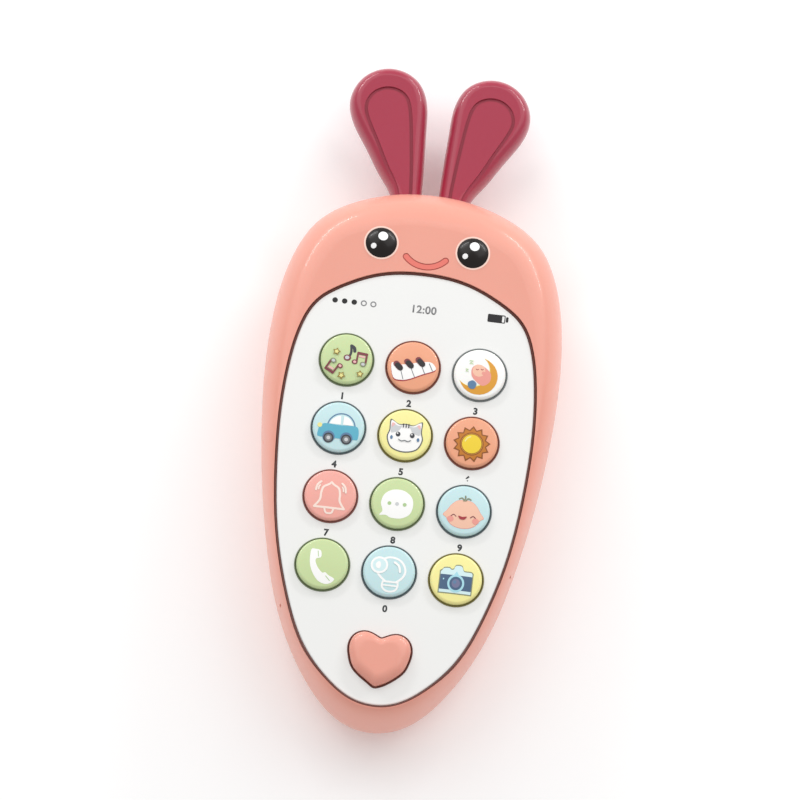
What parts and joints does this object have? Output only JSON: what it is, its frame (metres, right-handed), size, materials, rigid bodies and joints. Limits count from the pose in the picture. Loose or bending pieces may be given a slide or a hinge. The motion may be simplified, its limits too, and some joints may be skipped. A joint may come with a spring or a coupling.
{
  "type": "toy cell phone",
  "caption": "Toy cell phone with a carrot-shaped two-part casing, soft ears, round picture keys, a heart key, and a screwed battery cover on its back.",
  "frame": {"origin": "centre of the back, under the middle of the whole phone with its ears, on the surface it lies on", "axes": "+Y from the tip of the casing to the ears, +Z out of the face with the keys, X across"},
  "size_m": [0.0772, 0.1798, 0.028],
  "materials": {
    "coral_plastic": "satin-gloss coral ABS",
    "panel_plastic": "smooth white ABS",
    "green_plastic": "satin pale green ABS",
    "orange_plastic": "satin orange ABS",
    "white_key_plastic": "satin white ABS",
    "blue_plastic": "satin pale blue ABS",
    "yellow_plastic": "satin pale yellow ABS",
    "pink_plastic": "satin pink ABS",
    "ear_silicone": "soft raspberry silicone",
    "eye_plastic": "polished black plastic",
    "mat_silicone": "translucent grey silicone",
    "board": "green glass-fibre board",
    "resin": "black resin blob",
    "board_component": "surface-mounted parts",
    "speaker_steel": "plated steel",
    "speaker_film": "clear film cone",
    "switch_steel": "folded steel case",
    "black_plastic": "black nylon",
    "spring_steel": "nickel-plated spring wire",
    "contact_steel": "nickel-plated strip",
    "screw_steel": "zinc-plated steel",
    "wire_insulation": "PVC insulation",
    "cell_jacket": "printed steel jacket"
  },
  "bodies": {
    "casing": {"front_shell": "coral_plastic", "rear_shell": "coral_plastic", "keypad_panel": "panel_plastic", "ear_left": "ear_silicone", "ear_right": "ear_silicone", "eye_left": "eye_plastic", "eye_right": "eye_plastic", "keypad_mat": "mat_silicone", "circuit_board": "board", "sound_chip": "resin", "board_parts": "board_component", "speaker_frame": "speaker_steel", "speaker_cone": "speaker_film", "speaker_magnet": "speaker_steel", "switch_body": "switch_steel", "battery_springs": "spring_steel", "battery_plates": "contact_steel", "case_screws": "screw_steel", "board_screws": "screw_steel", "speaker_wires": "wire_insulation", "battery_wires": "wire_insulation", "battery_cell_1": "cell_jacket", "battery_cell_2": "cell_jacket", "battery_cell_3": "cell_jacket"},
    "key_1_body": {"key_1": "green_plastic"},
    "key_2_body": {"key_2": "orange_plastic"},
    "key_3_body": {"key_3": "white_key_plastic"},
    "key_4_body": {"key_4": "blue_plastic"},
    "key_5_body": {"key_5": "yellow_plastic"},
    "key_6_body": {"key_6": "orange_plastic"},
    "key_7_body": {"key_7": "pink_plastic"},
    "key_8_body": {"key_8": "green_plastic"},
    "key_9_body": {"key_9": "blue_plastic"},
    "key_call_body": {"key_call": "green_plastic"},
    "key_0_body": {"key_0": "blue_plastic"},
    "key_camera_body": {"key_camera": "yellow_plastic"},
    "heart_key_body": {"heart_key": "coral_plastic"},
    "switch_knob_body": {"switch_knob": "black_plastic"},
    "battery_cover_body": {"battery_cover": "coral_plastic"},
    "battery_cover_screw_body": {"battery_cover_screw": "screw_steel"}
  },
  "joints": [
    {"name": "key_1_press", "type": "slide", "parent": "casing", "child": "key_1_body", "axis": [0, 0, -1], "range_m": [0, 0.001], "stiffness_N_per_m": 300, "deforming": ["keypad_mat"]},
    {"name": "key_2_press", "type": "slide", "parent": "casing", "child": "key_2_body", "axis": [0, 0, -1], "range_m": [0, 0.001], "stiffness_N_per_m": 300, "deforming": ["keypad_mat"]},
    {"name": "key_3_press", "type": "slide", "parent": "casing", "child": "key_3_body", "axis": [0, 0, -1], "range_m": [0, 0.001], "stiffness_N_per_m": 300, "deforming": ["keypad_mat"]},
    {"name": "key_4_press", "type": "slide", "parent": "casing", "child": "key_4_body", "axis": [0, 0, -1], "range_m": [0, 0.001], "stiffness_N_per_m": 300, "deforming": ["keypad_mat"]},
    {"name": "key_5_press", "type": "slide", "parent": "casing", "child": "key_5_body", "axis": [0, 0, -1], "range_m": [0, 0.001], "stiffness_N_per_m": 300, "deforming": ["keypad_mat"]},
    {"name": "key_6_press", "type": "slide", "parent": "casing", "child": "key_6_body", "axis": [0, 0, -1], "range_m": [0, 0.001], "stiffness_N_per_m": 300, "deforming": ["keypad_mat"]},
    {"name": "key_7_press", "type": "slide", "parent": "casing", "child": "key_7_body", "axis": [0, 0, -1], "range_m": [0, 0.001], "stiffness_N_per_m": 300, "deforming": ["keypad_mat"]},
    {"name": "key_8_press", "type": "slide", "parent": "casing", "child": "key_8_body", "axis": [0, 0, -1], "range_m": [0, 0.001], "stiffness_N_per_m": 300, "deforming": ["keypad_mat"]},
    {"name": "key_9_press", "type": "slide", "parent": "casing", "child": "key_9_body", "axis": [0, 0, -1], "range_m": [0, 0.001], "stiffness_N_per_m": 300, "deforming": ["keypad_mat"]},
    {"name": "key_call_press", "type": "slide", "parent": "casing", "child": "key_call_body", "axis": [0, 0, -1], "range_m": [0, 0.001], "stiffness_N_per_m": 300, "deforming": ["keypad_mat"]},
    {"name": "key_0_press", "type": "slide", "parent": "casing", "child": "key_0_body", "axis": [0, 0, -1], "range_m": [0, 0.001], "stiffness_N_per_m": 300, "deforming": ["keypad_mat"]},
    {"name": "key_camera_press", "type": "slide", "parent": "casing", "child": "key_camera_body", "axis": [0, 0, -1], "range_m": [0, 0.001], "stiffness_N_per_m": 300, "deforming": ["keypad_mat"]},
    {"name": "heart_key_press", "type": "slide", "parent": "casing", "child": "heart_key_body", "axis": [0, 0, -1], "range_m": [0, 0.001], "stiffness_N_per_m": 300, "deforming": ["keypad_mat"]},
    {"name": "power_switch_slide", "type": "slide", "parent": "casing", "child": "switch_knob_body", "axis": [1, 0, 0], "range_m": [0, 0.004]},
    {"name": "battery_cover_hinge", "type": "hinge", "parent": "casing", "child": "battery_cover_body", "pos_m": [0, -0.00023, 0], "axis": [1, 0, 0], "range_deg": [0, 70]},
    {"name": "battery_cover_screw_turn", "type": "hinge", "parent": "battery_cover_body", "child": "battery_cover_screw_body", "pos_m": [0, -0.05753, 0], "axis": [0, 0, -1], "continuous": true}
  ]
}
